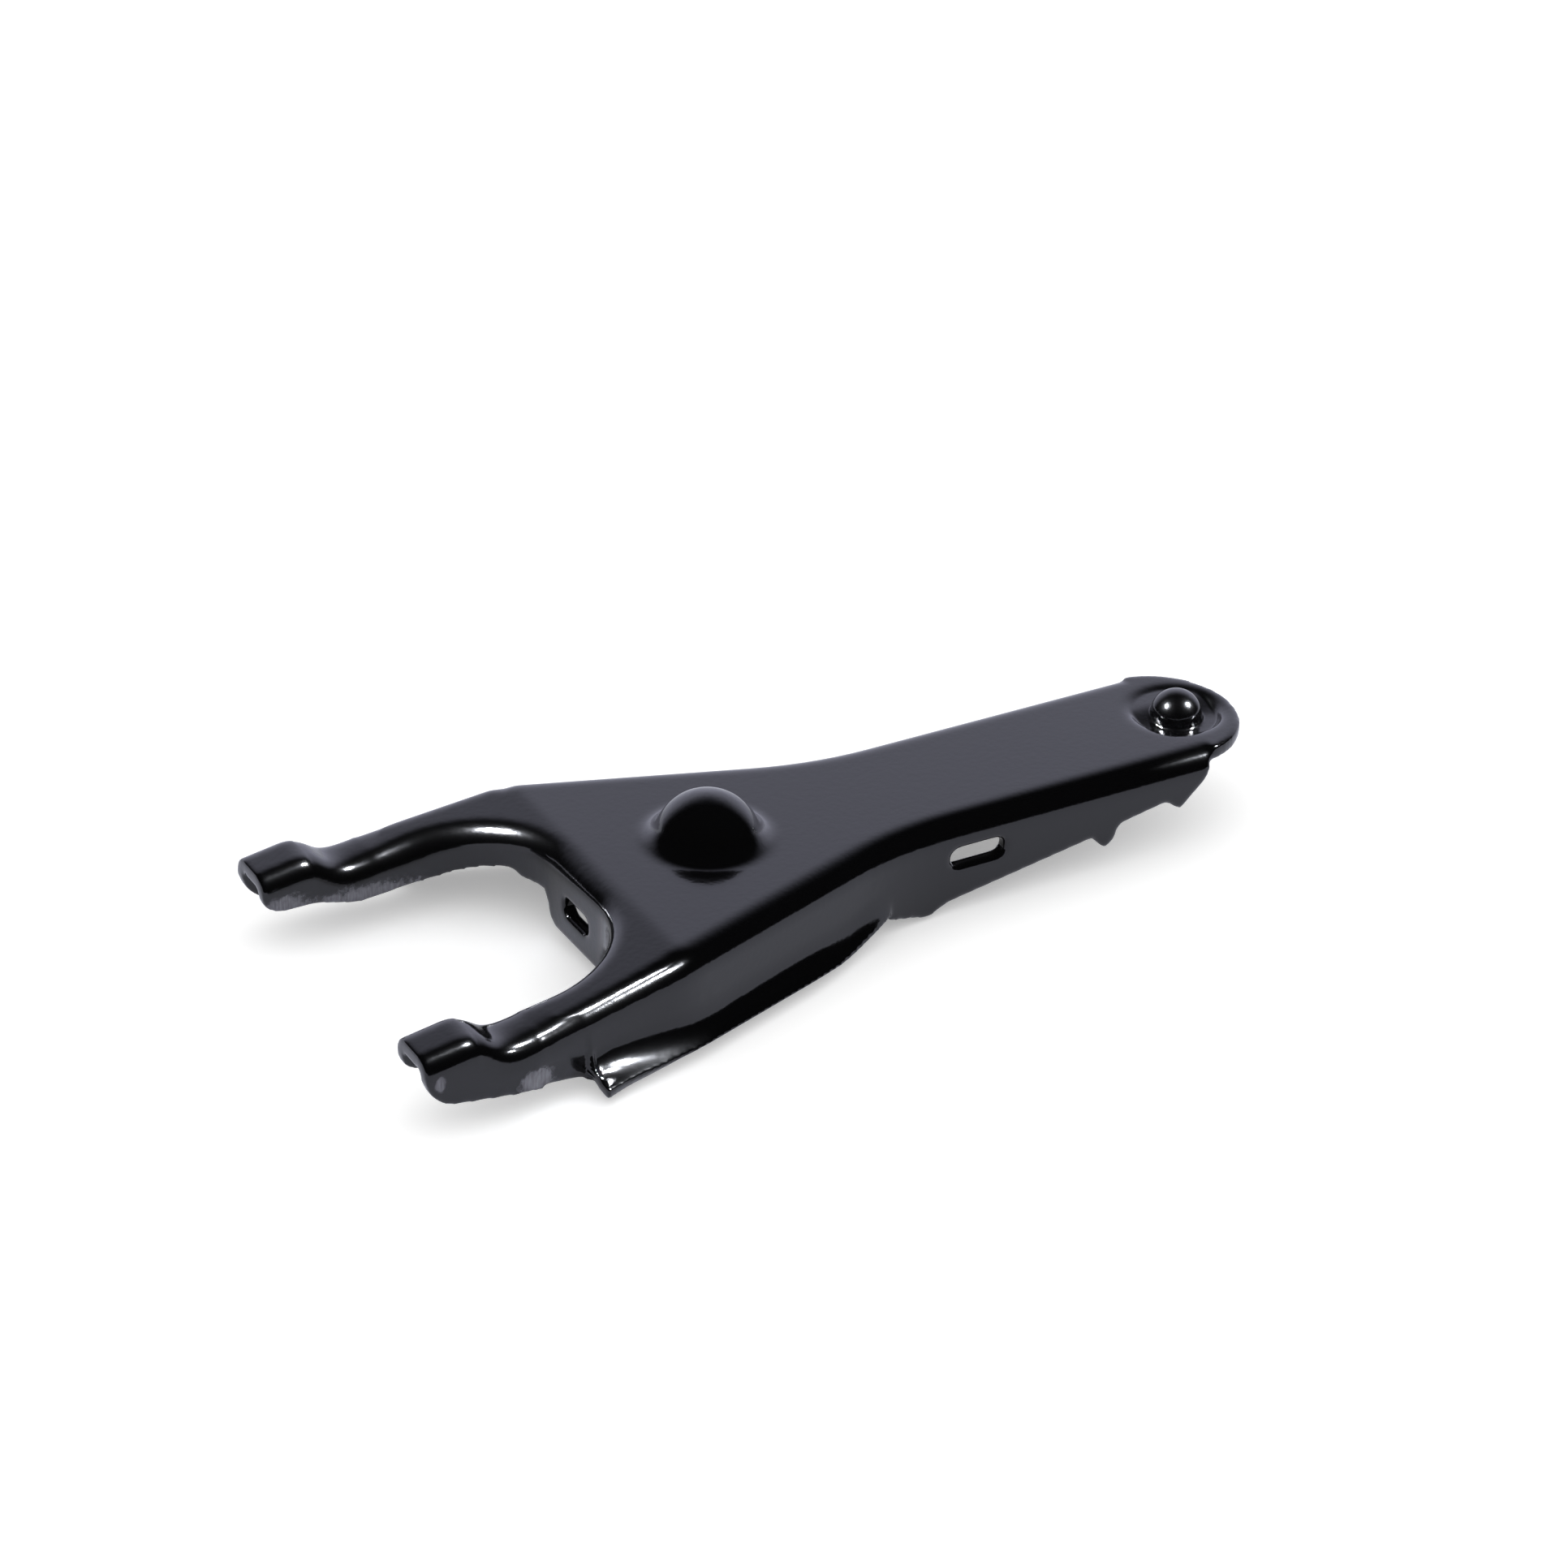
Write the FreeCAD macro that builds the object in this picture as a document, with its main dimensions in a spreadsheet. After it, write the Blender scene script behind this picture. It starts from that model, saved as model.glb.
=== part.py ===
import FreeCAD, Part
import math
import os
import Sketcher

# Clutch release fork: one blank of sheet steel, pressed into an open-bottomed
# channel that forks into two channel-section tines.  Millimetres, +Z up.
# Origin: on the web's top plane, on the axis of the pivot dome.
# +X runs to the push-rod end, -X to the tines, and XZ is the plane of symmetry.

V = FreeCAD.Vector
doc = FreeCAD.newDocument("clutch_release_fork")

# ---------------------------------------------------------------- sizes
SIZES = [
    # the sheet and its bends (outside radii)
    ("sheet", 3.0),
    ("body_bend", 5.0),
    ("tine_bend", 3.8),
    # plan outline, outside faces of the side walls
    ("arm_half", 17.9),
    ("waist_x", 32.0),
    ("waist_radius", 70.0),
    ("shoulder_x", -23.5),
    ("shoulder_half", 37.3),
    ("shoulder_radius", 40.0),
    ("tine_knee_x", -58.0),
    ("tine_width", 12.7),
    ("tine_knee_radius", 60.0),
    ("throat_x", -28.0),
    ("throat_half", 28.5),
    ("throat_radius", 20.0),
    # side profile of the top surface
    ("slope_x", -24.0),
    ("slope_radius", 12.0),
    ("valley_x", -62.0),
    ("valley_z", -6.3),
    ("valley_radius", 6.0),
    ("hump_x", -67.5),
    ("hump_z", -2.0),
    ("hump_radius", 7.0),
    ("tip_x", -78.5),
    ("tip_z", -3.8),
    # side profile of the trimmed lower edges
    ("flange_end_x", 105.0),
    ("arm_heel_x", 38.0),
    ("arm_heel_z", -19.5),
    ("lip_bottom_z", -20.0),
    # push-rod end: round tab, pressed ring and ball
    ("tab_x", 100.8),
    ("tab_radius", 16.5),
    ("lip_front_x", -45),
    ("lip_back_x", 29),
    ("lip_front_reach", 6.4),
    ("lip_back_reach", 1.6),
    ("lip_front_radius", 4),
    ("lip_run_in", 9),
    ("lip_run_in_flare", 3.4),
    ("tab_start_x", 103.3),
    ("lip_root_z", -7.6),
    ("skirt_z", -17),
    ("cup_face_radius", 11.0),
    ("cup_x", 105.5),
    ("cup_ball_radius", 5.3),
    ("cup_ball_z", -1.1),
    ("cup_groove_radius", 1.5),
    ("cup_rim_radius", 2.4),
    ("cup_depth", 3.0),
    ("cup_sheet", 2.0),
    # pivot dome
    ("dome_ball_radius", 7.5),
    ("dome_z", -1.5),
    ("dome_root_radius", 4.5),
    ("dome_face_radius", 14.5),
    # clip slots
    ("arm_slot_x", 49.3),
    ("arm_slot_z", -8.1),
    ("arm_slot_length", 12.0),
    ("arm_slot_height", 4.0),
    ("throat_slot_z", -10.0),
    ("throat_slot_length", 10.0),
    ("throat_slot_height", 4.0),
]
sheet = doc.addObject("Spreadsheet::Sheet", "sizes")
for row, (alias, value) in enumerate(SIZES, start=1):
    sheet.set("A%d" % row, alias)
    sheet.set("B%d" % row, str(value))
    sheet.setAlias("B%d" % row, alias)
doc.recompute()

PLAN = FreeCAD.Placement()
SIDE = FreeCAD.Placement(V(0, 0, 0), FreeCAD.Rotation(V(1, 0, 0), 90))
FRONT = FreeCAD.Placement(V(0, 0, 0), FreeCAD.Rotation(V(0, 1, 0), V(0, 0, 1), V(1, 0, 0), "XYZ"))


def rounded_outline(name, placement, corners):
    """Closed sketch of straight lines between corners, each corner rounded
    by an arc where it has a radius.  Every corner and radius is an expression
    on the sheet, held by a constraint of its own."""
    sketch = doc.addObject("Sketcher::SketchObject", name)
    sketch.Placement = placement
    number = lambda text: float(sheet.evalExpression(text))
    points = [V(number(x), number(y), 0) for x, y, radius in corners]
    radii = [number(radius) if radius else 0.0 for x, y, radius in corners]
    count = len(points)
    starts, ends, centres = [], [], []
    for i, here in enumerate(points):
        back = (points[i - 1] - here).normalize()
        ahead = (points[(i + 1) % count] - here).normalize()
        half = back.getAngle(ahead) / 2
        reach = radii[i] / math.tan(half)
        starts.append(here + back * reach)
        ends.append(here + ahead * reach)
        centres.append(here + (back + ahead).normalize() * (radii[i] / math.sin(half)))
    lines = [sketch.addGeometry(Part.LineSegment(ends[i], starts[(i + 1) % count]), False)
             for i in range(count)]
    held = []
    for i, (x, y, radius) in enumerate(corners):
        before, after = lines[i - 1], lines[i]
        if radius:
            turn_left = (points[i] - starts[i]).cross(ends[i] - points[i]).z > 0
            low, high = (starts[i], ends[i]) if turn_left else (ends[i], starts[i])
            first = 1 if turn_left else 2
            circle = Part.Circle(centres[i], V(0, 0, 1), radii[i])
            arc = sketch.addGeometry(
                Part.ArcOfCircle(circle, circle.parameter(low), circle.parameter(high)), False)
            vertex = sketch.addGeometry(Part.Point(points[i]), True)
            sketch.addConstraint([
                Sketcher.Constraint("Tangent", before, 2, arc, first),
                Sketcher.Constraint("Tangent", arc, 3 - first, after, 1),
                Sketcher.Constraint("PointOnObject", vertex, 1, before),
                Sketcher.Constraint("PointOnObject", vertex, 1, after),
            ])
            held.append((sketch.addConstraint(Sketcher.Constraint("Radius", arc, radii[i])), radius))
            corner = (vertex, 1)
        else:
            sketch.addConstraint(Sketcher.Constraint("Coincident", before, 2, after, 1))
            corner = (after, 1)
        held.append((sketch.addConstraint(
            Sketcher.Constraint("DistanceX", -1, 1, corner[0], corner[1], points[i].x)), x))
        held.append((sketch.addConstraint(
            Sketcher.Constraint("DistanceY", -1, 1, corner[0], corner[1], points[i].y)), y))
    for index, expression in held:
        sketch.setExpression("Constraints[%d]" % index, expression)
    return sketch


def mirrored(half_corners):
    """The corners of one half followed by those of the other, in order round the outline."""
    other = [(x, "-(%s)" % y, radius) for x, y, radius in reversed(half_corners)]
    return half_corners + other


outline = rounded_outline("wall_outline", PLAN, mirrored([
    ("sizes.flange_end_x + 25", "sizes.arm_half", None),
    ("sizes.waist_x", "sizes.arm_half", "sizes.waist_radius"),
    ("sizes.shoulder_x", "sizes.shoulder_half", "sizes.shoulder_radius"),
    ("sizes.tine_knee_x", "sizes.throat_half + sizes.tine_width", "sizes.tine_knee_radius"),
    ("sizes.tip_x - 25", "sizes.throat_half + sizes.tine_width", None),
    ("sizes.tip_x - 25", "sizes.throat_half", None),
    ("sizes.throat_x", "sizes.throat_half", "sizes.throat_radius"),
]))
profile = rounded_outline("top_profile", SIDE, [
    ("sizes.flange_end_x + 25", "0", None),
    ("sizes.slope_x", "0", "sizes.slope_radius"),
    ("sizes.valley_x", "sizes.valley_z", "sizes.valley_radius"),
    ("sizes.hump_x", "sizes.hump_z", "sizes.hump_radius"),
    ("sizes.tip_x - 25", "sizes.tip_z - 25 * (sizes.tip_z - sizes.hump_z) / (sizes.tip_x - sizes.hump_x)", None),
    ("sizes.tip_x - 25", "-60", None),
    ("sizes.flange_end_x + 25", "-60", None),
])


def size(alias):
    return sheet.get(alias)


def extrude(name, base, forward, backward, direction):
    """A solid from a closed sketch or wire, both ways along its normal."""
    solid = doc.addObject("Part::Extrusion", name)
    solid.Base = base
    solid.DirMode = "Custom"
    solid.Dir = direction
    solid.setExpression("LengthFwd", forward)
    solid.setExpression("LengthRev", backward)
    solid.Solid = True
    return solid


def combine(kind, name, first, second):
    result = doc.addObject("Part::" + kind, name)
    result.Base = first
    result.Tool = second
    result.Refine = False
    return result


def inset(name, sketch):
    """The sketch's outline moved inwards by the sheet thickness."""
    result = doc.addObject("Part::Offset2D", name)
    result.Source = sketch
    result.setExpression("Value", "-sizes.sheet")
    result.Join = "Arc"
    return result


def bend_radius(x):
    """Outside bend radius: full on the body, tighter along the tines."""
    start, end = size("shoulder_x"), size("shoulder_x") - 16
    share = min(max((start - x) / (start - end), 0), 1)
    return size("body_bend") + share * (size("tine_bend") - size("body_bend"))


def bend_top_edges(name, block, reduction):
    """Round every edge where the top surface turns down into a wall."""
    rounded = doc.addObject("Part::Fillet", name)
    rounded.Base = block
    picked = []
    for number, edge in enumerate(block.Shape.Edges, start=1):
        faces = block.Shape.ancestorsOfType(edge, Part.Face)
        middle = edge.valueAt((edge.FirstParameter + edge.LastParameter) / 2)
        if middle.z < size("tip_z") - 25 or abs(edge.tangentAt(edge.FirstParameter).z) > 0.9:
            continue
        slopes = [face.normalAt(*face.Surface.parameter(middle)).z for face in faces]
        ends = [edge.Vertexes[0].X, edge.Vertexes[-1].X]
        if len(faces) == 2 and max(slopes) > 0.5 and min(slopes) < 0.1 and abs(ends[0] - ends[1]) + edge.Length > 0:
            beyond = min(ends) < size("tip_x") - 15 and abs(ends[0] - ends[1]) < 0.01
            beyond = beyond or (max(ends) > size("flange_end_x") + 15 and abs(ends[0] - ends[1]) < 0.01)
            if not beyond:
                first, last = edge.valueAt(edge.FirstParameter), edge.valueAt(edge.LastParameter)
                picked.append((number, bend_radius(first.x) - reduction, bend_radius(last.x) - reduction))
    rounded.Edges = picked
    return rounded




UP, ACROSS = V(0, 0, 1), V(0, 1, 0)
outer_walls = extrude("outer_walls", outline, "20", "60", UP)
outer_top = extrude("outer_top", profile, "60", "60", ACROSS)
outer_block = doc.addObject("Part::MultiCommon", "outer_block")
outer_block.Shapes = [outer_walls, outer_top]
inner_outline = inset("inner_outline", outline)
inner_profile = inset("inner_profile", profile)
inner_walls = extrude("inner_walls", inner_outline, "20", "60", UP)
inner_top = extrude("inner_top", inner_profile, "60", "60", ACROSS)
inner_block = doc.addObject("Part::MultiCommon", "inner_block")
inner_block.Shapes = [inner_walls, inner_top]
doc.recompute()
outer_form = bend_top_edges("outer_form", outer_block, 0)
inner_form = bend_top_edges("inner_form", inner_block, size("sheet"))
shell = combine("Cut", "formed_shell", outer_form, inner_form)

# Lower edge of the outer flanges, from the tip of a tine to the end of the arm.
flange_edge = rounded_outline("flange_edge", SIDE, [
    ("sizes.tip_x", "sizes.dome_ball_radius", None),
    ("sizes.tip_x", "-13.1", "7"),
    ("sizes.lip_front_x", "-17.7", None),
    ("sizes.lip_front_x + 1", "sizes.skirt_z - 4", None),
    ("sizes.lip_back_x - 1", "sizes.skirt_z - 4", None),
    ("sizes.lip_back_x", "-16.8", None),
    ("sizes.arm_heel_x + 0.4", "sizes.arm_heel_z", "1"),
    ("43.5", "-17.5", "4"),
    ("75.4", "-12.2", "1"),
    ("78.4", "-15.3", "1"),
    ("80.4", "-13.9", "1.5"),
    ("81.6", "-10.7", "1.5"),
    ("92.3", "-8.7", "2"),
    ("95.7", "-11.2", "0.8"),
    ("101.8", "-5.4", "5"),
    ("103.4", "0.8", "1"),
    ("sizes.flange_end_x", "sizes.dome_ball_radius", None),
])
# Lower edge of the flange inside the throat.
throat_edge = rounded_outline("throat_edge", SIDE, [
    ("sizes.tip_x - 20", "sizes.dome_ball_radius", None),
    ("sizes.tip_x - 20", "-70", None),
    ("sizes.throat_x + 4", "-70", None),
    ("sizes.throat_x + 4", "-10.5", None),
    ("-30", "-10.5", "0.6"),
    ("-31", "-9", "1"),
    ("-44", "-12.4", "12"),
    ("-59", "-13.8", "8"),
    ("-68", "-11.4", "8"),
    ("sizes.tip_x - 0.6", "-11.4", "5"),
    ("sizes.tip_x - 0.6", "sizes.dome_ball_radius", None),
])
# The skirt that stays deep across the middle of the throat.
skirt_edge = rounded_outline("skirt_edge", FRONT, [
    ("-12.3", "-5", None),
    ("-12.3", "-11.5", "1"),
    ("-11.3", "-13", "1"),
    ("-10.8", "-15.4", "1.5"),
    ("-8.6", "sizes.skirt_z", "1.5"),
    ("8.6", "sizes.skirt_z", "1.5"),
    ("10.8", "-15.4", "1.5"),
    ("11.3", "-13", "1"),
    ("12.3", "-11.5", "1"),
    ("12.3", "-5", None),
])
doc.recompute()
flange_region = extrude("flange_region", flange_edge, "60", "60", ACROSS)
throat_region = extrude("throat_region", throat_edge, "sizes.throat_half + sizes.sheet + 1.5",
                        "sizes.throat_half + sizes.sheet + 1.5", ACROSS)
skirt_region = extrude("skirt_region", skirt_edge, "-sizes.throat_x + 6", "sizes.throat_x + 50", V(-1, 0, 0))
throat_cut = combine("Cut", "throat_cut", throat_region, skirt_region)
# Below the lip's root the outer wall gives way to the lofted lip.
lip_gap = doc.addObject("Part::Box", "lip_gap")
lip_gap.setExpression("Length", "sizes.lip_back_x - sizes.lip_front_x + sizes.lip_run_in")
lip_gap.Width = 120
lip_gap.Height = 60
lip_gap.setExpression("Placement.Base.x", "sizes.lip_front_x - sizes.lip_run_in")
lip_gap.Placement.Base.y = -60
lip_gap.setExpression("Placement.Base.z", "sizes.lip_root_z - 60")
throat_box = doc.addObject("Part::Box", "throat_box")
throat_box.setExpression("Length", "sizes.throat_x + 4 - sizes.lip_front_x + 30")
throat_box.setExpression("Width", "2 * (sizes.throat_half + sizes.sheet + 1.5)")
throat_box.Height = 80
throat_box.setExpression("Placement.Base.x", "sizes.lip_front_x - 30")
throat_box.setExpression("Placement.Base.y", "-(sizes.throat_half + sizes.sheet + 1.5)")
throat_box.Placement.Base.z = -70
lip_cut = combine("Cut", "lip_cut", lip_gap, throat_box)
trimmed = doc.addObject("Part::MultiCommon", "trimmed_flanges")
trimmed.Shapes = [shell, flange_region]
without_lips = combine("Cut", "trimmed_walls", trimmed, lip_cut)
formed = combine("Cut", "trimmed_throat", without_lips, throat_cut)
doc.recompute()


def wall_at(x):
    """Half width over the outer walls at x."""
    crossing = outline.Shape.section(Part.makeLine(V(x, 0, 0), V(x, 100, 0)))
    return max(vertex.Y for vertex in crossing.Vertexes)


def lip_shape(x):
    """Flare radius, width of the flat at its end, overhang and lowest point of the lip at x."""
    front, back = size("lip_front_x"), size("lip_back_x")
    share = (x - front) / (back - front)
    tight = max(1 - (x - front) / 22, 0) ** 2
    front_edge = wall_at(front) + size("lip_front_reach")
    edge = front_edge + share * (wall_at(back) + size("lip_back_reach") - front_edge)
    fade = max((x - back + 7) / 7, 0)
    overhang = edge - wall_at(x) - 0.9 * fade ** 2
    radius = size("lip_front_radius") * tight + (1 - tight) * (9 + 4 * share)
    bottom = size("lip_bottom_z") + 4.0 * max((x - 14) / (back - 14), 0) ** 1.5
    return radius, 0.4 + 2.2 * tight, overhang, bottom


def run_in_shape(x):
    """The same for the stretch where the wall starts to lean out towards the lip."""
    front, length = size("lip_front_x"), size("lip_run_in")
    share = 1 + (x - front) / length
    bottom = -17.9 + 1.24 * (1 - share)
    return 14 - 7 * share, 0.4, 0.15 + (size("lip_run_in_flare") - 0.15) * share ** 2, bottom


def lip_section(x, side, shape):
    """Cross-section of wall and flared lip at x: down the wall, round the flare, out to the free edge."""
    wall = wall_at(x)
    slope = (wall_at(x + 0.2) - wall_at(x - 0.2)) / 0.4
    thick = size("sheet") * math.sqrt(1 + slope ** 2)
    radius, flat, overhang, bottom = shape(x)
    angle = math.radians(45)
    for step in range(40):
        reach = min(max((overhang - flat * math.sin(angle)) / radius, 0.005), 0.995)
        angle = math.acos(1 - reach)
    root = bottom + (radius + thick) * math.sin(angle) + flat * math.cos(angle)

    def on_arc(r, turn):
        return V(x, side * (wall + radius - r * math.cos(turn)), root - r * math.sin(turn))

    run = V(0, side * flat * math.sin(angle), -flat * math.cos(angle))
    top_out = V(x, side * wall, size("lip_root_z"))
    top_in = V(x, side * (wall - thick), size("lip_root_z"))
    out_low, in_low = on_arc(radius, angle), on_arc(radius + thick, angle)
    return Part.Wire([
        Part.makeLine(top_out, on_arc(radius, 0)),
        Part.Arc(on_arc(radius, 0), on_arc(radius, angle / 2), out_low).toShape(),
        Part.makeLine(out_low, out_low + run),
        Part.makeLine(out_low + run, in_low + run),
        Part.makeLine(in_low + run, in_low),
        Part.Arc(in_low, on_arc(radius + thick, angle / 2), on_arc(radius + thick, 0)).toShape(),
        Part.makeLine(on_arc(radius + thick, 0), top_in),
        Part.makeLine(top_in, top_out),
    ])


def flared_lip(name, side, shape, stations):
    lip = doc.addObject("Part::Feature", name)
    lip.Shape = Part.makeLoft([lip_section(x, side, shape) for x in stations], True, False)
    return lip


front, back, run_in = size("lip_front_x"), size("lip_back_x"), size("lip_run_in")
shoulder = size("shoulder_x")
lip_stations = [front, -40, -35, -30.5, shoulder - 3.5, shoulder, shoulder + 3.5,
                -14, -6, 2, 9, 15, 20, 24.5, back]
run_in_stations = [front - run_in * part for part in (1, 0.75, 0.5, 0.25, 0)]
lips = []
for side, name in ((-1, "near"), (1, "far")):
    lips.append(flared_lip(name + "_lip", side, lip_shape, lip_stations))
    lips.append(flared_lip(name + "_lip_run_in", side, run_in_shape, run_in_stations))

# Round tab at the push-rod end.
tab_disc = doc.addObject("Part::Cylinder", "tab_disc")
tab_disc.setExpression("Radius", "sizes.tab_radius")
tab_disc.setExpression("Height", "sizes.sheet")
tab_disc.setExpression("Placement.Base.x", "sizes.tab_x")
tab_disc.setExpression("Placement.Base.z", "-sizes.sheet")
tab_half = doc.addObject("Part::Box", "tab_half")
tab_half.Length, tab_half.Width, tab_half.Height = 60, 60, 20
tab_half.setExpression("Placement.Base.x", "sizes.tab_start_x")
tab_half.Placement.Base.y = -30
tab_half.Placement.Base.z = -10
tab = doc.addObject("Part::MultiCommon", "tab")
tab.Shapes = [tab_disc, tab_half]

# Push-rod cup: a small dome standing in a ring groove, one drawn form.
cup = doc.addObject("Sketcher::SketchObject", "cup_section")
cup.Placement = SIDE
cup.setExpression("Placement.Base.x", "sizes.cup_x")
ball, ball_z, wall = size("cup_ball_radius"), size("cup_ball_z"), size("cup_sheet")
groove, rim, depth, face = size("cup_groove_radius"), size("cup_rim_radius"), size("cup_depth"), size("cup_face_radius")
groove_z = groove - depth
groove_x = math.sqrt((ball + groove) ** 2 - (ball_z - groove_z) ** 2)
rim_x = groove_x + math.sqrt((groove + rim) ** 2 - (groove_z + rim) ** 2)
lean = math.atan2(groove_z - ball_z, groove_x)
under = math.asin((-size("sheet") - groove_z) / (groove + wall))
ball_centre, groove_centre, rim_centre = V(0, ball_z, 0), V(groove_x, groove_z, 0), V(rim_x, -rim, 0)


def arc(centre, radius, start, end):
    return cup.addGeometry(Part.ArcOfCircle(Part.Circle(centre, UP, radius), start, end), False)


def line(x1, y1, x2, y2):
    return cup.addGeometry(Part.LineSegment(V(x1, y1, 0), V(x2, y2, 0)), False)


quarter = math.pi / 2
outer_ball = arc(ball_centre, ball, lean, quarter)
outer_groove = arc(groove_centre, groove, lean + math.pi, math.pi * 2)
outer_rim = arc(rim_centre, rim, quarter, math.pi)
top_line = line(rim_x, 0, face, 0)
side_line = line(face, 0, face, -size("sheet"))
low_line = line(face, -size("sheet"), groove_x + (groove + wall) * math.cos(under), -size("sheet"))
inner_groove = arc(groove_centre, groove + wall, lean + math.pi, under + math.pi * 2)
inner_ball = arc(ball_centre, ball - wall, lean, quarter)
axis_line = line(0, ball_z + ball - wall, 0, ball_z + ball)
K = Sketcher.Constraint
cup.addConstraint([
    K("Tangent", outer_ball, 1, outer_groove, 1), K("Tangent", outer_groove, 2, outer_rim, 2),
    K("Tangent", outer_rim, 1, top_line, 1), K("Horizontal", top_line),
    K("Coincident", top_line, 2, side_line, 1), K("Vertical", side_line),
    K("Coincident", side_line, 2, low_line, 1), K("Horizontal", low_line),
    K("Coincident", low_line, 2, inner_groove, 2), K("Coincident", inner_groove, 3, outer_groove, 3),
    K("Tangent", inner_groove, 1, inner_ball, 1), K("Coincident", inner_ball, 3, outer_ball, 3),
    K("Coincident", inner_ball, 2, axis_line, 1), K("Coincident", axis_line, 2, outer_ball, 2),
    K("PointOnObject", axis_line, 1, -2), K("PointOnObject", axis_line, 2, -2),
    K("PointOnObject", outer_ball, 3, -2), K("PointOnObject", top_line, 1, -1),
])
for kind, where, start, expression in [
        ("DistanceY", (-1, 1, outer_ball, 3), ball_z, "sizes.cup_ball_z"),
        ("DistanceY", (-1, 1, outer_groove, 3), groove_z, "sizes.cup_groove_radius - sizes.cup_depth"),
        ("DistanceX", (-1, 1, side_line, 1), face, "sizes.cup_face_radius"),
        ("DistanceY", (-1, 1, side_line, 2), -size("sheet"), "-sizes.sheet"),
        ("Radius", (outer_ball,), ball, "sizes.cup_ball_radius"),
        ("Radius", (outer_groove,), groove, "sizes.cup_groove_radius"),
        ("Radius", (outer_rim,), rim, "sizes.cup_rim_radius"),
        ("Radius", (inner_ball,), ball - wall, "sizes.cup_ball_radius - sizes.cup_sheet")]:
    index = cup.addConstraint(K(kind, *where, start))
    cup.setExpression("Constraints[%d]" % index, expression)
cup_form = doc.addObject("Part::Revolution", "push_rod_cup")
cup_form.Source = cup
cup_form.Axis = UP
cup_form.setExpression("Base.x", "sizes.cup_x")
cup_form.Angle = 360
cup_form.Solid = True
cup_hole = doc.addObject("Part::Cylinder", "cup_hole")
cup_hole.setExpression("Radius", "sizes.cup_face_radius")
cup_hole.Height = 60
cup_hole.setExpression("Placement.Base.x", "sizes.cup_x")
cup_hole.Placement.Base.z = -30

# Main dome: the spherical socket that rocks on the pivot ball, drawn up from
# the web with one bend radius at its foot, concentric inside and outside.
def upright(kind, name, radius, z):
    solid = doc.addObject("Part::" + kind, name)
    solid.setExpression("Radius", radius)
    solid.setExpression("Placement.Base.z", z)
    return solid


dome_plate = upright("Cylinder", "dome_plate", "sizes.dome_face_radius", "-sizes.sheet")
dome_plate.setExpression("Height", "sizes.sheet")
dome_ball = upright("Sphere", "dome_ball", "sizes.dome_ball_radius + sizes.sheet", "sizes.dome_z")
dome_ball.Angle1 = 0
pivot_seat = upright("Sphere", "pivot_seat", "sizes.dome_ball_radius", "sizes.dome_z")
dome_hole = upright("Cylinder", "dome_hole", "sizes.dome_face_radius", "-30")
dome_hole.Height = 60
dome_solid = combine("Fuse", "dome_solid", dome_plate, dome_ball)
dome_hollow = combine("Cut", "dome_hollow", dome_solid, pivot_seat)
doc.recompute()


def circle_edge(shape, z):
    """Number of the smallest full circle of the shape at height z."""
    circles = []
    for number, edge in enumerate(shape.Edges, start=1):
        if edge.Degenerated or edge.Curve.TypeId != "Part::GeomCircle":
            continue
        centre, turn = edge.Curve.Center, edge.LastParameter - edge.FirstParameter
        if abs(centre.x) + abs(centre.y) + abs(centre.z - z) < 0.01 and turn > 6:
            circles.append((edge.Curve.Radius, number))
    return min(circles)[1]


dome = doc.addObject("Part::Fillet", "dome")
dome.Base = dome_hollow
foot_bend = size("dome_root_radius")
mouth_bend = foot_bend + size("sheet")
dome.Edges = [
    (circle_edge(dome_hollow.Shape, 0), foot_bend, foot_bend),
    (circle_edge(dome_hollow.Shape, -size("sheet")), mouth_bend, mouth_bend),
]


def fuse(name, *pieces):
    result = doc.addObject("Part::MultiFuse", name)
    result.Shapes = list(pieces)
    result.Refine = False
    return result


doc.recompute()
# The lips meet the walls edge to edge, so they are joined with a tolerance.
with_tab = doc.addObject("Part::Feature", "with_tab")
with_tab.Shape = formed.Shape.fuse([lip.Shape for lip in lips] + [tab.Shape], 0.01)
dome_cut = combine("Cut", "dome_cut", with_tab, dome_hole)
cup_cut = combine("Cut", "cup_cut", dome_cut, cup_hole)
with_dome = combine("Fuse", "with_dome", cup_cut, dome)
blank = combine("Fuse", "blank", with_dome, cup_form)


def slot(name, placement, centre_a, centre_b, length, height, base_corner=0.45):
    """Oblong slot outline about a centre on the placement's plane."""
    a, b = "%s + %s / 2", "%s - %s / 2"
    left, right = b % (centre_a, length), a % (centre_a, length)
    low, high = b % (centre_b, height), a % (centre_b, height)
    corner = "%s * 0.45" % height
    return rounded_outline(name, placement, [
        (left, low, corner), (right, low, corner), (right, high, corner), (left, high, corner)])


def circle_edge(shape, radius, z):
    """Number of the edge that is a full turn of this radius about the dome's axis."""
    for number, edge in enumerate(shape.Edges, start=1):
        if edge.Degenerated or edge.Curve.TypeId != "Part::GeomCircle":
            continue
        centre = edge.Curve.Center
        if abs(edge.Curve.Radius - radius) < 0.01 and abs(centre.x) + abs(centre.y) + abs(centre.z - z) < 0.01:
            return number


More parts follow.
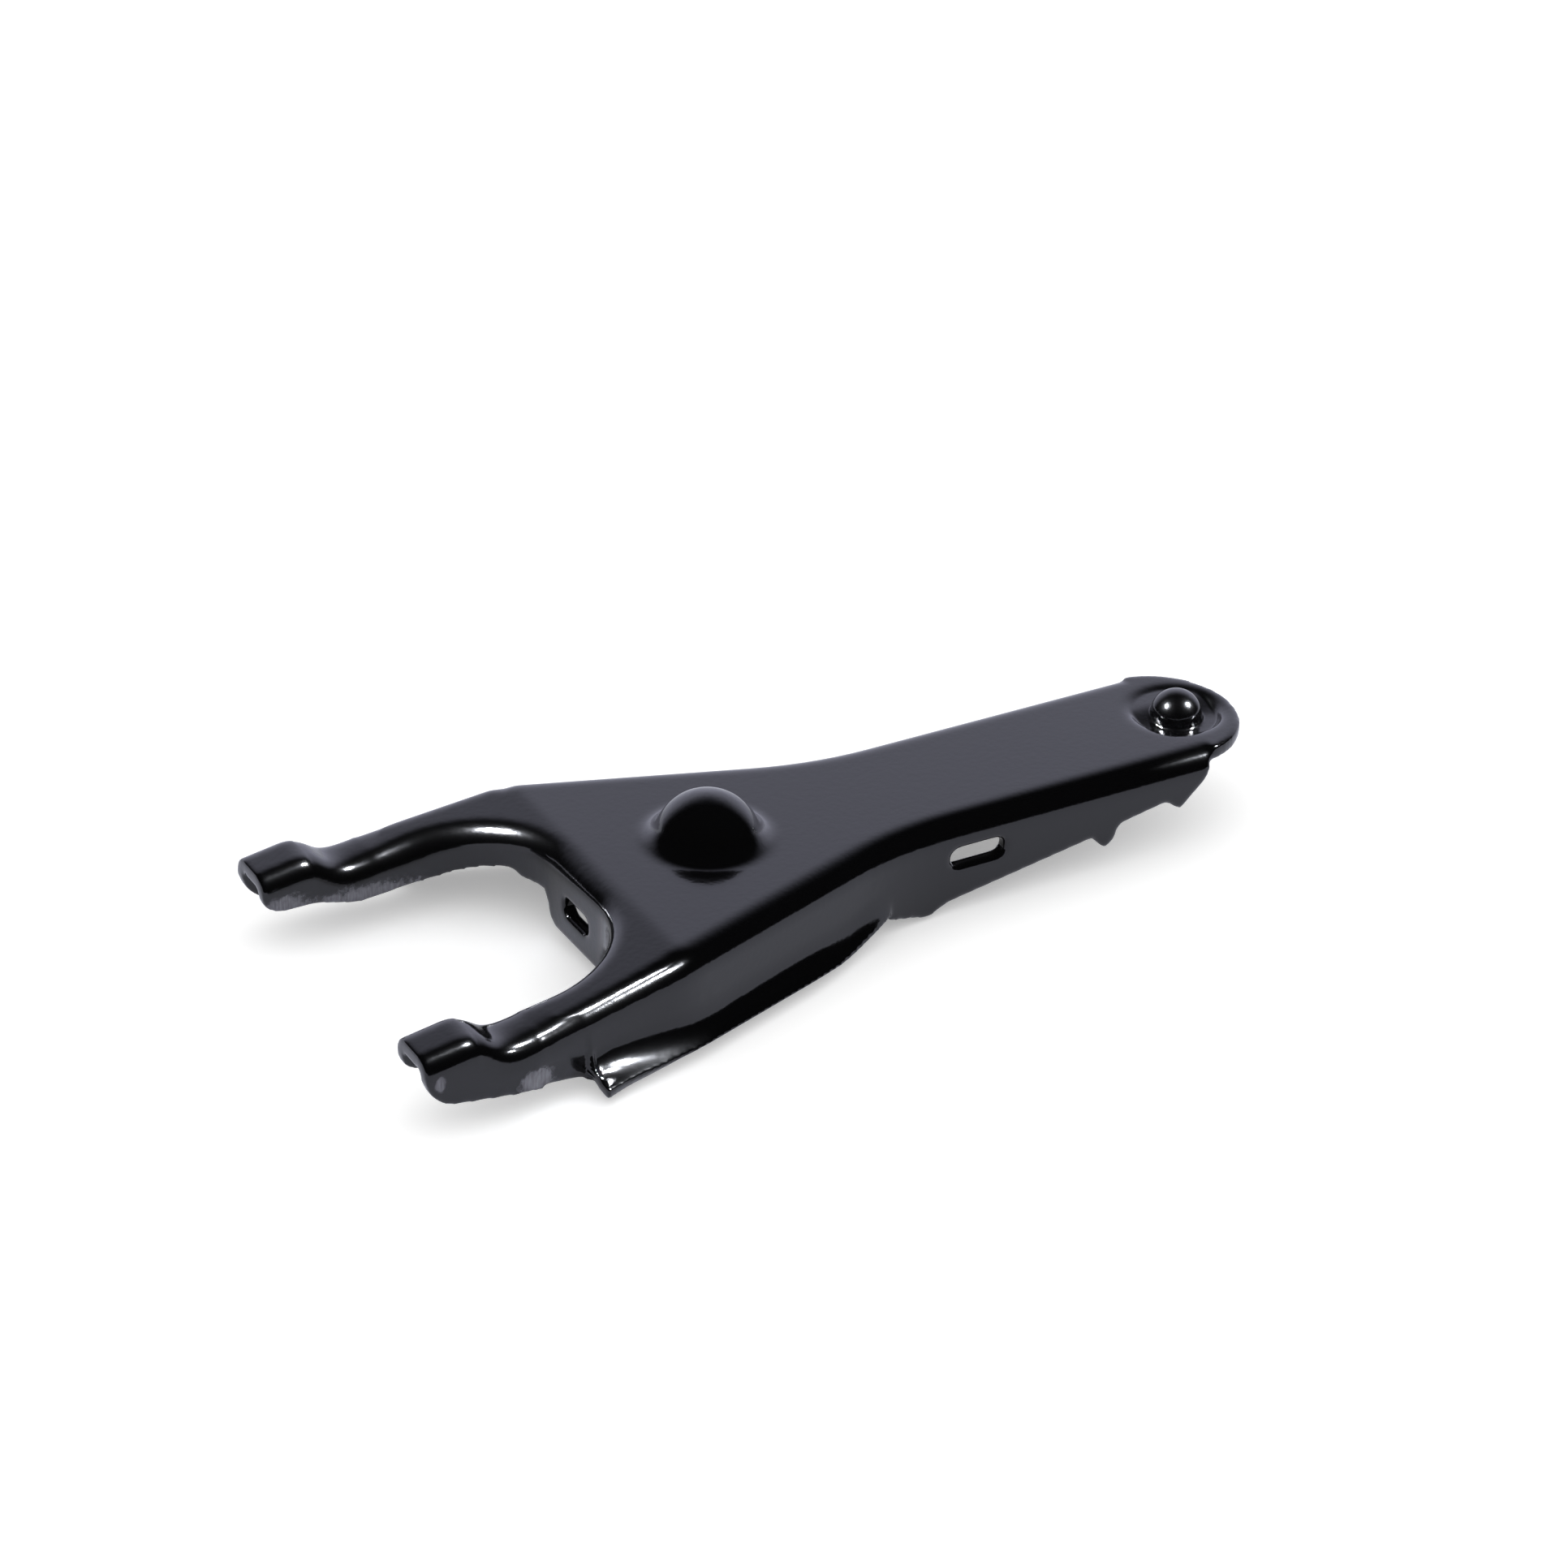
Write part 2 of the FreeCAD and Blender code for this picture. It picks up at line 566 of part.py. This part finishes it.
arm_slot = slot("arm_slot", SIDE, "sizes.arm_slot_x", "sizes.arm_slot_z",
                "sizes.arm_slot_length", "sizes.arm_slot_height")
throat_slot = slot("throat_slot", FRONT, "0", "sizes.throat_slot_z",
                   "sizes.throat_slot_length", "sizes.throat_slot_height")
doc.recompute()
arm_punch = extrude("arm_punch", arm_slot, "60", "60", ACROSS)
throat_punch = extrude("throat_punch", throat_slot, "-sizes.throat_x + 6", "0", V(-1, 0, 0))
arm_slotted = combine("Cut", "arm_slotted", blank, arm_punch)
fork = combine("Cut", "release_fork", arm_slotted, throat_punch)
fork.Refine = False
doc.recompute()
fork.setExpression("Placement.Base.z", "-sizes.dome_z")
doc.recompute()

for thing in doc.Objects:
    if "Invalid" in thing.State or "Error" in thing.State:
        raise RuntimeError("failed: " + thing.Name)
if fork.Shape.isNull() or not fork.Shape.isValid() or len(fork.Shape.Solids) != 1:
    raise RuntimeError("the fork is not one sound solid")

os.makedirs("parts", exist_ok=True)
fork.Label = "release_fork"
fork.Shape.exportStep("parts/release_fork.step")
print(fork.Label, fork.Shape.BoundBox, "%.0f mm3" % fork.Shape.Volume, len(fork.Shape.Faces), "faces")
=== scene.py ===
import math
import bmesh
import bpy
from mathutils import Matrix, Vector


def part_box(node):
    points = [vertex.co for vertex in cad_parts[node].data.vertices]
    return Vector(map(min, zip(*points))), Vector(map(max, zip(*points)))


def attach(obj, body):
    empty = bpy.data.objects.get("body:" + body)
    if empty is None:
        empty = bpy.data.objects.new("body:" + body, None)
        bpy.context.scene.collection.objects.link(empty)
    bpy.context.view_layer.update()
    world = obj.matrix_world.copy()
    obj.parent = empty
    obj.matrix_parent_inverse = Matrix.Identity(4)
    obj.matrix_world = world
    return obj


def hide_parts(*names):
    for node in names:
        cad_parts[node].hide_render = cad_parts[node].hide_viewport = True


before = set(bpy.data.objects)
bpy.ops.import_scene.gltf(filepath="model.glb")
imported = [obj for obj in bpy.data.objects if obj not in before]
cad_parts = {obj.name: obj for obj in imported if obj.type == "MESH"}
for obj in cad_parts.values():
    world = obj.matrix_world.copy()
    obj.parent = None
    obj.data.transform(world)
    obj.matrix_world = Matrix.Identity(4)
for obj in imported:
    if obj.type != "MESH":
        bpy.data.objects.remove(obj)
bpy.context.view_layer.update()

# ------------------------------------------------------------------ the fork
# One pressing of 3 mm steel sheet, sheared, folded and drawn in a press tool,
# then dipped in gloss black enamel.  The visible skin is the CAD form welded
# into one surface, with the sheared corners softened as paint softens them.
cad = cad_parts["release_fork"]
fork = bpy.data.objects.new("fork_pressing", cad.data.copy())
bpy.context.scene.collection.objects.link(fork)
weld_gap, skin_grid = 2e-6, 0.00058
skin = bmesh.new()
skin.from_mesh(fork.data)
bmesh.ops.remove_doubles(skin, verts=skin.verts, dist=weld_gap)
skin.to_mesh(fork.data)
skin.free()
if "custom_normal" in fork.data.attributes:
    fork.data.attributes.remove(fork.data.attributes["custom_normal"])
pressed = fork.copy()
pressed.data = fork.data.copy()
bpy.context.scene.collection.objects.link(pressed)
even = fork.modifiers.new("even_skin", "REMESH")
even.mode = "VOXEL"
even.voxel_size = skin_grid
fit = fork.modifiers.new("onto_pressing", "SHRINKWRAP")
fit.target = pressed
fit.wrap_method = "NEAREST_SURFACEPOINT"
ease = fork.modifiers.new("eased_corners", "SMOOTH")
ease.factor, ease.iterations = 0.5, 7
bpy.context.view_layer.update()
depsgraph = bpy.context.evaluated_depsgraph_get()
shaped = bpy.data.meshes.new_from_object(fork.evaluated_get(depsgraph))
fork.modifiers.clear()
fork.data = shaped
bpy.data.objects.remove(pressed)


def ramp(low, high, value):
    t = min(max((value - low) / (high - low), 0), 1)
    return t * t * (3 - 2 * t)


# The lips roll outward over their whole height, most of all at mid length,
# and end in a square shear cut; a knock near the tip left a shallow dent.
lip_front, lip_back, lip_root, lip_foot = -0.0457, 0.029, -0.0085, -0.0185
roll_out, roll_slope, front_lift = 0.003, 0.58, 0.001
roll_full_front, roll_full_back, lift_end = -0.018, 0.004, -0.03
throat_end, lip_inside = -0.02, 0.033
run_in_front, run_in_back, run_in_top, run_in_inside = -0.056, -0.0463, -0.006, 0.034
wall_start, wall_face, wall_taper, sheet = -0.043, 0.0393, 0.12, 0.003
inner_facing = -0.6
dent, dent_depth, dent_floor = Vector((-0.0548, -0.041, -0.0125)), 0.0004, 0.35
dent_size = Vector((0.0042, 0.01, 0.003))
skin = bmesh.new()
skin.from_mesh(fork.data)
skin.normal_update()
for point in skin.verts:
    x, z = point.co.x, point.co.z
    side, reach = math.copysign(1, point.co.y), abs(point.co.y)
    on_lip = lip_front < x < lip_back and z < lip_root
    if on_lip and (x > throat_end or reach > lip_inside):
        down = min((lip_root - z) / (lip_root - lip_foot), 1)
        rolled = roll_out * ramp(lip_front, roll_full_front, x)
        rolled = rolled * ramp(lip_back, roll_full_back, x) * down ** 2
        lifted_front = front_lift * ramp(lift_end, lip_front, x) * down ** 2
        point.co.y += side * rolled
        point.co.z += roll_slope * rolled + lifted_front
    elif run_in_front < x <= lip_front and z < run_in_top and reach > run_in_inside:
        outer = point.normal.y * side > inner_facing
        flush = wall_face + wall_taper * (wall_start - x) - (0 if outer else sheet)
        point.co.y = side * min(reach, flush)
    knock = Vector([(point.co[k] - dent[k]) / dent_size[k] for k in range(3)]).length
    if knock < 1:
        point.co.y += dent_depth * (1 - ramp(dent_floor, 1, knock))

# The ring pressed round the push-rod cup has a nearly flat floor that rises
# a little towards the far side.
cup_x, cup_floor, floor_rise = 0.1055, -0.0004, 0.0014
ring_inside, ring_outside, ring_low = 0.0035, 0.012, -0.0025
rise_near, rise_far = -0.003, 0.005
for point in skin.verts:
    span = math.hypot(point.co.x - cup_x, point.co.y)
    if ring_inside < span < ring_outside and point.co.z > ring_low:
        ring_floor = cup_floor + floor_rise * ramp(rise_near, rise_far, point.co.y)
        point.co.z = max(point.co.z, ring_floor)

# Drawn sheet has no sharp creases, so the worked places are eased: the valleys
# in the tines, the run-ins of the lips and the ring round the push-rod cup.
valley_front, valley_back, valley_low = -0.068, -0.055, -0.0085
eased_front, eased_top = -0.055, -0.003
eased_inside, eased_outside = 0.005, 0.0125
valley_passes, run_in_passes, recess_passes = 24, 30, 5
valleys = [p for p in skin.verts
           if valley_front < p.co.x < valley_back and p.co.z > valley_low]
run_ins = [p for p in skin.verts
           if eased_front < p.co.x < run_in_back and p.co.z < eased_top
           and abs(p.co.y) > run_in_inside]
recess = [p for p in skin.verts
          if eased_inside < math.hypot(p.co.x - cup_x, p.co.y) < eased_outside]
for region, passes in ((valleys, valley_passes), (run_ins, run_in_passes),
                       (recess, recess_passes)):
    for _ in range(passes):
        bmesh.ops.smooth_vert(skin, verts=region, factor=0.5,
                              use_axis_x=True, use_axis_y=True, use_axis_z=True)
skin.to_mesh(fork.data)
skin.free()
for face in fork.data.polygons:
    face.use_smooth = True

# Gloss black enamel with a fine orange peel; where it is worn it turns dull
# and lets the grey steel through.
enamel_black, bare_steel = (0.0016, 0.0016, 0.0019, 1), (0.2, 0.2, 0.24, 1)
enamel_rough, worn_rough, enamel_ior = 0.12, 0.5, 1.5
paint = bpy.data.materials.new("black_enamel")
paint.use_nodes = True
nodes, links = paint.node_tree.nodes, paint.node_tree.links
shader = nodes["Principled BSDF"]
shader.inputs["Base Color"].default_value = enamel_black
shader.inputs["Roughness"].default_value = enamel_rough
shader.inputs["IOR"].default_value = enamel_ior
place = nodes.new("ShaderNodeTexCoord")


def spot(name, centre, size, soft):
    gap = nodes.new("ShaderNodeVectorMath")
    gap.operation = "SUBTRACT"
    gap.inputs[1].default_value = centre
    links.new(place.outputs["Object"], gap.inputs[0])
    scaled = nodes.new("ShaderNodeVectorMath")
    scaled.operation = "DIVIDE"
    scaled.inputs[1].default_value = size
    links.new(gap.outputs["Vector"], scaled.inputs[0])
    reach = nodes.new("ShaderNodeVectorMath")
    reach.operation = "LENGTH"
    links.new(scaled.outputs["Vector"], reach.inputs[0])
    mask = nodes.new("ShaderNodeMapRange")
    mask.label = name
    mask.inputs["From Min"].default_value = 1
    mask.inputs["From Max"].default_value = 1 - soft
    links.new(reach.outputs["Value"], mask.inputs["Value"])
    return mask.outputs["Result"]


def combined(kind, first, second):
    math_node = nodes.new("ShaderNodeMath")
    math_node.operation = kind
    for socket, value in zip(math_node.inputs, (first, second)):
        if isinstance(value, (int, float)):
            socket.default_value = value
        else:
            links.new(value, socket)
    return math_node.outputs["Value"]


def noise(scale, detail, where):
    texture = nodes.new("ShaderNodeTexNoise")
    texture.inputs["Scale"].default_value = scale
    texture.inputs["Detail"].default_value = detail
    links.new(where, texture.inputs["Vector"])
    return texture.outputs["Fac"]


# Worn places: the dent on the near wall, a rub at the tip and the sheared
# lower edge of the far tine, all dulled by streaks that run down the sheet.
grain = nodes.new("ShaderNodeMapping")
grain.inputs["Scale"].default_value = (2600, 2600, 260)
links.new(place.outputs["Object"], grain.inputs["Vector"])
streak = noise(1, 3, grain.outputs["Vector"])
patch = noise(700, 3, place.outputs["Object"])
fade = 0.9
worn = combined(
    "MAXIMUM",
    spot("dent", (-0.0565, -0.041, -0.0122), (0.0052, 0.006, 0.0036), fade),
    spot("rub", (-0.0758, -0.041, -0.0072), (0.0016, 0.004, 0.0026), fade))
edge = combined(
    "MAXIMUM",
    spot("mid_shear", (-0.060, 0.028, -0.0122), (0.022, 0.0026, 0.0056), fade),
    spot("tip_shear", (-0.0745, 0.028, -0.0098), (0.009, 0.0026, 0.0052), fade))
worn = combined("MAXIMUM", worn, edge)
worn_share, patch_share, untouched = 0.8, 0.7, 0.01
ragged = nodes.new("ShaderNodeMapRange")
ragged.interpolation_type = "SMOOTHSTEP"
ragged.inputs["From Min"].default_value = 0.5
ragged.inputs["From Max"].default_value = 0.85
links.new(combined("ADD", combined("MULTIPLY", worn, worn_share),
                   combined("MULTIPLY", patch, patch_share)),
          ragged.inputs["Value"])
ragged = combined("MULTIPLY", ragged.outputs["Result"],
                  combined("GREATER_THAN", worn, untouched))
scored = combined("MULTIPLY", ragged, streak)
rub_tone = nodes.new("ShaderNodeMix")
rub_tone.data_type = "RGBA"
rub_tone.inputs["A"].default_value = enamel_black
rub_tone.inputs["B"].default_value = bare_steel
links.new(scored, rub_tone.inputs["Factor"])
links.new(rub_tone.outputs["Result"], shader.inputs["Base Color"])
gloss = nodes.new("ShaderNodeMapRange")
gloss.inputs["To Min"].default_value = enamel_rough
gloss.inputs["To Max"].default_value = worn_rough
links.new(ragged, gloss.inputs["Value"])
links.new(gloss.outputs["Result"], shader.inputs["Roughness"])
peel_height, score_height, bump_strength, bump_height = 0.35, 1.5, 0.5, 0.0001
peel = noise(900, 2, place.outputs["Object"])
skin_height = combined("ADD", combined("MULTIPLY", peel, peel_height),
                       combined("MULTIPLY", scored, score_height))
bump = nodes.new("ShaderNodeBump")
bump.inputs["Strength"].default_value = bump_strength
bump.inputs["Distance"].default_value = bump_height
links.new(skin_height, bump.inputs["Height"])
links.new(bump.outputs["Normal"], shader.inputs["Normal"])
fork.data.materials.clear()
fork.data.materials.append(paint)
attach(fork, "root")
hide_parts("release_fork")

# ------------------------------------------------------------------ the floor
# The fork lies on a wide sheet of matt white paper.  What the lens and the
# enamel see of the paper is lifted a little, while the fork's shadow stays on it.
# In the enamel the paper is painted a darker blue-grey: painted shade that
# stands for the shade on the floor round the fork.
floor_size, floor_gap = 6, 0.0001
paper_white, paper_shaded_in_gloss, paper_lift = (0.93, 0.93, 0.93, 1), (0.58, 0.6, 0.74, 1), 0.3
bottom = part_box("release_fork")[0][2]
bpy.ops.mesh.primitive_plane_add(size=floor_size, location=(0, 0, bottom - floor_gap))
floor = bpy.context.object
floor.name = "studio_floor"
paper = bpy.data.materials.new("white_paper")
paper.use_nodes = True
paper_nodes, paper_links = paper.node_tree.nodes, paper.node_tree.links
matt = paper_nodes["Principled BSDF"]
matt.inputs["Roughness"].default_value = 0.9
matt.inputs["Specular IOR Level"].default_value = 0
sight = paper_nodes.new("ShaderNodeLightPath")
tone = paper_nodes.new("ShaderNodeMix")
tone.data_type = "RGBA"
paper_links.new(sight.outputs["Is Glossy Ray"], tone.inputs["Factor"])
tone.inputs["A"].default_value = paper_white
# Painted shade: the enamel's reflections see the paper in a darker blue-grey.
tone.inputs["B"].default_value = paper_shaded_in_gloss
paper_links.new(tone.outputs["Result"], matt.inputs["Base Color"])
direct = paper_nodes.new("ShaderNodeMath")
direct.operation = "MAXIMUM"
paper_links.new(sight.outputs["Is Camera Ray"], direct.inputs[0])
paper_links.new(sight.outputs["Is Glossy Ray"], direct.inputs[1])
lift = paper_nodes.new("ShaderNodeMath")
lift.operation = "MULTIPLY"
lift.inputs[1].default_value = paper_lift
paper_links.new(direct.outputs["Value"], lift.inputs[0])
matt.inputs["Emission Color"].default_value = (1, 1, 1, 1)
paper_links.new(lift.outputs["Value"], matt.inputs["Emission Strength"])
floor.data.materials.append(paper)

# ------------------------------------------------------------------ the lamps
# Small shaded lamps close to the fork draw the narrow highlights along its
# bends and on the push-rod cup.  They show only in the gloss; the even light
# on the fork is the room's.
lamp_tint = (0.9, 0.93, 1.0)


def softbox(name, aim, heading, height, far, wide, tall, glow, spread):
    lamp = bpy.data.lights.new(name, "AREA")
    lamp.shape, lamp.size, lamp.size_y = "RECTANGLE", wide, tall
    lamp.energy, lamp.spread, lamp.color = glow, math.radians(spread), lamp_tint
    panel = bpy.data.objects.new(name, lamp)
    round_by, level = math.radians(heading), math.cos(math.radians(height))
    toward = Vector((math.sin(round_by) * level, math.cos(round_by) * level,
                     math.sin(math.radians(height))))
    panel.location = Vector(aim) + far * toward
    panel.rotation_euler = toward.to_track_quat("Z", "Y").to_euler()
    panel.visible_camera = False
    panel.visible_diffuse = False
    bpy.context.scene.collection.objects.link(panel)


# name, place it lights, heading and height in degrees, distance, width and
# length in metres, power in watts, and spread in degrees
for lamp_values in (
        ("cup_left", (0.105, 0, 0.007), -78, 45, 0.12, 0.02, 0.02, 0.04, 12),
        ("cup_right", (0.105, 0, 0.007), 125, 44, 0.12, 0.02, 0.02, 0.04, 12),
        ("near_tine_bend", (-0.053, -0.04, 0), 115, 70, 0.12, 0.02, 0.056, 0.035, 7),
        ("far_tine_bend", (-0.066, 0.03, 0), 115, 65, 0.12, 0.02, 0.05, 0.05, 10),
        ("far_throat_bend", (-0.038, 0.026, 0), -85, 52, 0.08, 0.028, 0.028, 0.07, 18),
        ("lip_end", (-0.043, -0.044, -0.014), 130, 52, 0.12, 0.02, 0.02, 0.04, 14)):
    softbox(*lamp_values)

# ------------------------------------------------------------------- the room
# An even white room.  In the enamel only its far wall shows, bright along the
# ground and fading with height, as a paper sweep behind the fork does.
low_edge, high_edge, wall_glow = 0.38, 0.98, 1.25
wall_heading, wall_fade, wall_full = (0.5, 0.866, 0), 0.35, 0.8
room_glow, room_white, wall_tint = 1.0, (1, 1, 1, 1), (0.8, 0.81, 1.0, 1)
world = bpy.data.worlds.new("studio")
bpy.context.scene.world = world
world.use_nodes = True
room_nodes, room_links = world.node_tree.nodes, world.node_tree.links
back = room_nodes["Background"]
ray = room_nodes.new("ShaderNodeLightPath")
way = room_nodes.new("ShaderNodeTexCoord")
split = room_nodes.new("ShaderNodeSeparateXYZ")
room_links.new(way.outputs["Generated"], split.inputs["Vector"])
rise = room_nodes.new("ShaderNodeMapRange")
rise.interpolation_type = "SMOOTHSTEP"
rise.inputs["From Min"].default_value = low_edge
rise.inputs["From Max"].default_value = high_edge
rise.inputs["To Min"].default_value = wall_glow
rise.inputs["To Max"].default_value = 0.0
room_links.new(split.outputs["Z"], rise.inputs["Value"])
facing = room_nodes.new("ShaderNodeVectorMath")
facing.operation = "DOT_PRODUCT"
facing.inputs[1].default_value = wall_heading
room_links.new(way.outputs["Generated"], facing.inputs[0])
behind = room_nodes.new("ShaderNodeMapRange")
behind.interpolation_type = "SMOOTHSTEP"
behind.inputs["From Min"].default_value = wall_fade
behind.inputs["From Max"].default_value = wall_full
room_links.new(facing.outputs["Value"], behind.inputs["Value"])
sweep = room_nodes.new("ShaderNodeMath")
sweep.operation = "MULTIPLY"
room_links.new(rise.outputs["Result"], sweep.inputs[0])
room_links.new(behind.outputs["Result"], sweep.inputs[1])
glossy = room_nodes.new("ShaderNodeMix")
room_links.new(ray.outputs["Is Glossy Ray"], glossy.inputs["Factor"])
glossy.inputs["A"].default_value = room_glow
room_links.new(sweep.outputs["Value"], glossy.inputs["B"])
room_links.new(glossy.outputs["Result"], back.inputs["Strength"])
cool = room_nodes.new("ShaderNodeMix")
cool.data_type = "RGBA"
room_links.new(ray.outputs["Is Glossy Ray"], cool.inputs["Factor"])
cool.inputs["A"].default_value = room_white
cool.inputs["B"].default_value = wall_tint
room_links.new(cool.outputs["Result"], back.inputs["Color"])

# ----------------------------------------------------------------- the camera
# A long lens about 0.9 m away on the near side, turned 30 degrees towards the
# tines and 30 degrees above the floor, held with a slight roll.
turn, lifted, roll = math.radians(-30.01), math.radians(30.05), math.radians(1.24)
sensor, focal_length, near_limit, sheet_rise = 36, 111.8, 0.05, 0.0015
back_axis = Vector((math.sin(turn) * math.cos(lifted),
                    -math.cos(turn) * math.cos(lifted),
                    math.sin(lifted)))
right = Vector((0, 0, 1)).cross(back_axis).normalized()
above = back_axis.cross(right)
side = math.cos(roll) * right + math.sin(roll) * above
high = -math.sin(roll) * right + math.cos(roll) * above
offset = Vector((-0.01444, -0.00965, -0.91645))
place_at = -(side * offset.x + high * offset.y + back_axis * offset.z)
lens = bpy.data.cameras.new("studio_camera")
lens.sensor_width, lens.lens = sensor, focal_length
camera = bpy.data.objects.new("studio_camera", lens)
turned = Matrix((side, high, back_axis)).transposed()
stand = Matrix.Translation(place_at + Vector((0, 0, sheet_rise)))
camera.matrix_world = stand @ turned.to_4x4()
lens.clip_start = near_limit
bpy.context.scene.collection.objects.link(camera)
bpy.context.scene.camera = camera
bpy.context.scene.view_settings.view_transform = "Standard"
